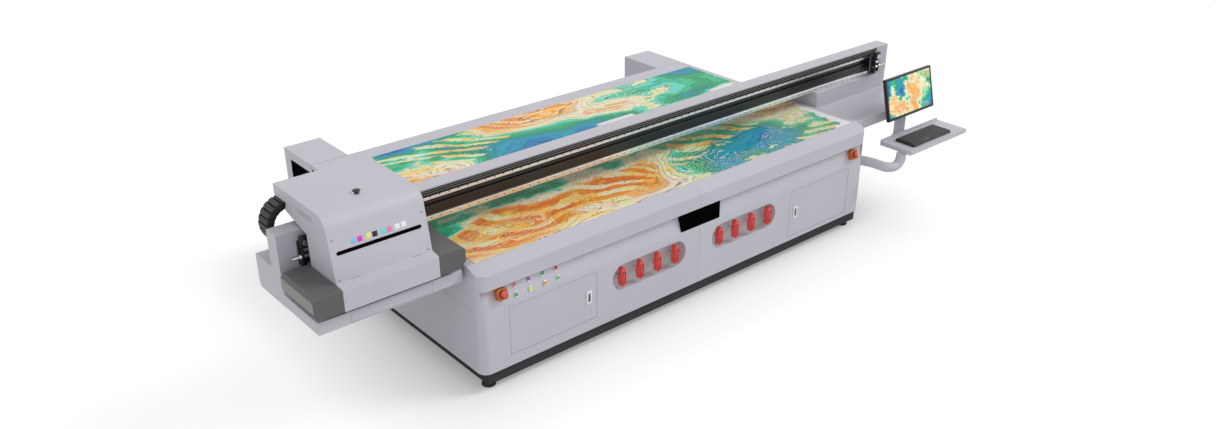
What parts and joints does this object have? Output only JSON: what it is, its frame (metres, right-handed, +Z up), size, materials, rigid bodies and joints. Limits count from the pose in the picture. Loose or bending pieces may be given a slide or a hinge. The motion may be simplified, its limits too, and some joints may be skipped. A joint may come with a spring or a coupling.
{
  "type": "flatbed uv printer",
  "caption": "Large flatbed ultraviolet printer: covered bed with a vacuum table, travelling gantry beam, hooded print carriage and operator console on an arm",
  "frame": {"origin": "centre of the machine's footprint, on the floor under the levelling feet", "axes": "+X along the bed from the print station to the console, +Y from the operator's side to the rear, +Z up"},
  "size_m": [4.9782, 2.422, 1.231],
  "materials": {
    "grey_paint": "smooth satin powder coat, cool light grey",
    "bright_steel": "ground linear rail steel",
    "cast_aluminium": "milled plate",
    "frame_paint": "black paint on box section",
    "foot_rubber": "levelling foot pad",
    "printed_board": null,
    "pocket_steel": "grey inside of the valve pocket",
    "amber_plastic": "moulded housing",
    "red_plastic": "moulded red grip",
    "lamp_paint": "dark textured coat on the lamp covers",
    "chain_nylon": "black nylon chain links",
    "head_metal": "dark anodised carriage block",
    "black_plastic": "moulded knob",
    "keyboard_plastic": "textured key caps",
    "monitor_plastic": "black bezel with a glossy screen",
    "coral_cap": "moulded button cap",
    "violet_cap": "moulded button cap",
    "green_cap": "moulded button cap",
    "crimson_cap": "moulded button cap",
    "leaf_cap": "moulded button cap",
    "yellow_cap": "moulded button cap",
    "amber_cap": "moulded button cap",
    "lime_cap": "moulded button cap"
  },
  "bodies": {
    "base": {"base_frame": "frame_paint", "y_rail_left": "bright_steel", "y_rail_right": "bright_steel", "foot_front_left": "foot_rubber", "foot_front_right": "foot_rubber", "foot_rear_left": "foot_rubber", "foot_rear_right": "foot_rubber", "valve_pocket_left": "pocket_steel", "estop_box_left": "amber_plastic", "valve_pocket_right": "pocket_steel", "estop_box_right": "amber_plastic", "front_cover": "grey_paint", "left_cover": "grey_paint", "right_cover": "grey_paint", "rear_cover": "grey_paint", "rear_wing_left": "grey_paint", "rear_wing_right": "grey_paint", "vacuum_table": "cast_aluminium", "printed_sheet": "printed_board"},
    "gantry": {"beam": "grey_paint", "rail_upper": "bright_steel", "rail_lower": "bright_steel", "station_tray": "grey_paint", "right_wing": "grey_paint", "gantry_arm_left": "bright_steel", "gantry_arm_right": "bright_steel", "chain_trough": "grey_paint", "chain_lower": "chain_nylon"},
    "carriage": {"carriage_plate": "cast_aluminium", "chain_upper": "chain_nylon"},
    "chain_turn": {"chain_bend": "chain_nylon"},
    "print_head": {"head_block": "head_metal", "hood": "grey_paint", "lamp_left": "lamp_paint", "lamp_right": "lamp_paint"},
    "knob": {"hood_knob": "black_plastic"},
    "console": {"console_arm": "grey_paint", "shelf": "grey_paint", "keyboard": "keyboard_plastic"},
    "screen": {"monitor": "monitor_plastic"},
    "door_left_leaf": {"door_left": "grey_paint"},
    "door_right_leaf": {"door_right": "grey_paint"},
    "handle_1": {"valve_handle_1": "red_plastic"},
    "handle_2": {"valve_handle_2": "red_plastic"},
    "handle_3": {"valve_handle_3": "red_plastic"},
    "handle_4": {"valve_handle_4": "red_plastic"},
    "handle_5": {"valve_handle_5": "red_plastic"},
    "handle_6": {"valve_handle_6": "red_plastic"},
    "handle_7": {"valve_handle_7": "red_plastic"},
    "handle_8": {"valve_handle_8": "red_plastic"},
    "button_1": {"push_button_1": "coral_cap"},
    "button_2": {"push_button_2": "violet_cap"},
    "button_3": {"push_button_3": "green_cap"},
    "button_4": {"push_button_4": "crimson_cap"},
    "button_5": {"push_button_5": "leaf_cap"},
    "button_6": {"push_button_6": "yellow_cap"},
    "button_7": {"push_button_7": "amber_cap"},
    "button_8": {"push_button_8": "lime_cap"},
    "stop_left": {"estop_button_left": "red_plastic"},
    "stop_right": {"estop_button_right": "red_plastic"}
  },
  "joints": [
    {"name": "gantry_travel", "type": "slide", "parent": "base", "child": "gantry", "axis": [0, 1, 0], "range_m": [0, 1.4]},
    {"name": "carriage_travel", "type": "slide", "parent": "gantry", "child": "carriage", "axis": [1, 0, 0], "range_m": [0, 3.55]},
    {"name": "chain_roll", "type": "slide", "parent": "carriage", "child": "chain_turn", "axis": [1, 0, 0], "range_m": [-1.775, 0], "deforming": ["chain_upper", "chain_lower"]},
    {"name": "head_lift", "type": "slide", "parent": "carriage", "child": "print_head", "axis": [0, 0, 1], "range_m": [0, 0.1]},
    {"name": "knob_press", "type": "slide", "parent": "print_head", "child": "knob", "axis": [0, 0, -1], "range_m": [0, 0.004], "stiffness_N_per_m": 500, "springref_m": -0.002},
    {"name": "console_swing", "type": "hinge", "parent": "base", "child": "console", "pos_m": [1.61915, -0.871, 0.44], "axis": [0, 0, 1], "range_deg": [-30, 0]},
    {"name": "screen_tilt", "type": "hinge", "parent": "console", "child": "screen", "pos_m": [2.06915, -0.931, 0.85], "axis": [1, 0, 0], "range_deg": [-5, 15]},
    {"name": "door_left_swing", "type": "hinge", "parent": "base", "child": "door_left_leaf", "pos_m": [-1.44585, -1.011, 0.3325], "axis": [0, 0, 1], "range_deg": [-110, 0]},
    {"name": "door_right_swing", "type": "hinge", "parent": "base", "child": "door_right_leaf", "pos_m": [1.39915, -1.011, 0.314], "axis": [0, 0, 1], "range_deg": [0, 110]},
    {"name": "valve_1_turn", "type": "hinge", "parent": "base", "child": "handle_1", "pos_m": [-0.64885, -1.011, 0.377], "axis": [0, 1, 0], "range_deg": [0, 90]},
    {"name": "valve_2_turn", "type": "hinge", "parent": "base", "child": "handle_2", "pos_m": [-0.50985, -1.011, 0.377], "axis": [0, 1, 0], "range_deg": [0, 90]},
    {"name": "valve_3_turn", "type": "hinge", "parent": "base", "child": "handle_3", "pos_m": [-0.37085, -1.011, 0.377], "axis": [0, 1, 0], "range_deg": [0, 90]},
    {"name": "valve_4_turn", "type": "hinge", "parent": "base", "child": "handle_4", "pos_m": [-0.22785, -1.011, 0.377], "axis": [0, 1, 0], "range_deg": [0, 90]},
    {"name": "valve_5_turn", "type": "hinge", "parent": "base", "child": "handle_5", "pos_m": [0.14915, -1.011, 0.377], "axis": [0, 1, 0], "range_deg": [0, 90]},
    {"name": "valve_6_turn", "type": "hinge", "parent": "base", "child": "handle_6", "pos_m": [0.29215, -1.011, 0.377], "axis": [0, 1, 0], "range_deg": [0, 90]},
    {"name": "valve_7_turn", "type": "hinge", "parent": "base", "child": "handle_7", "pos_m": [0.43815, -1.011, 0.377], "axis": [0, 1, 0], "range_deg": [0, 90]},
    {"name": "valve_8_turn", "type": "hinge", "parent": "base", "child": "handle_8", "pos_m": [0.59215, -1.011, 0.377], "axis": [0, 1, 0], "range_deg": [0, 90]},
    {"name": "button_1_press", "type": "slide", "parent": "base", "child": "button_1", "axis": [0, 0.9487, -0.3162], "range_m": [0, 0.004], "stiffness_N_per_m": 300, "springref_m": -0.002},
    {"name": "button_2_press", "type": "slide", "parent": "base", "child": "button_2", "axis": [0, 0.9487, -0.3162], "range_m": [0, 0.004], "stiffness_N_per_m": 300, "springref_m": -0.002},
    {"name": "button_3_press", "type": "slide", "parent": "base", "child": "button_3", "axis": [0, 0.9487, -0.3162], "range_m": [0, 0.004], "stiffness_N_per_m": 300, "springref_m": -0.002},
    {"name": "button_4_press", "type": "slide", "parent": "base", "child": "button_4", "axis": [0, 0.9487, -0.3162], "range_m": [0, 0.004], "stiffness_N_per_m": 300, "springref_m": -0.002},
    {"name": "button_5_press", "type": "slide", "parent": "base", "child": "button_5", "axis": [0, 0.9487, -0.3162], "range_m": [0, 0.004], "stiffness_N_per_m": 300, "springref_m": -0.002},
    {"name": "button_6_press", "type": "slide", "parent": "base", "child": "button_6", "axis": [0, 0.9487, -0.3162], "range_m": [0, 0.004], "stiffness_N_per_m": 300, "springref_m": -0.002},
    {"name": "button_7_press", "type": "slide", "parent": "base", "child": "button_7", "axis": [0, 0.9487, -0.3162], "range_m": [0, 0.004], "stiffness_N_per_m": 300, "springref_m": -0.002},
    {"name": "button_8_press", "type": "slide", "parent": "base", "child": "button_8", "axis": [0, 0.9487, -0.3162], "range_m": [0, 0.004], "stiffness_N_per_m": 300, "springref_m": -0.002},
    {"name": "stop_left_press", "type": "slide", "parent": "base", "child": "stop_left", "axis": [0, 0.9487, -0.3162], "range_m": [0, 0.005], "stiffness_N_per_m": 800, "springref_m": -0.002},
    {"name": "stop_right_press", "type": "slide", "parent": "base", "child": "stop_right", "axis": [0, 0.9487, -0.3162], "range_m": [0, 0.005], "stiffness_N_per_m": 800, "springref_m": -0.002}
  ],
  "couplings": [
    {"joint": "chain_roll", "follows": "carriage_travel", "ratio": -0.5}
  ]
}
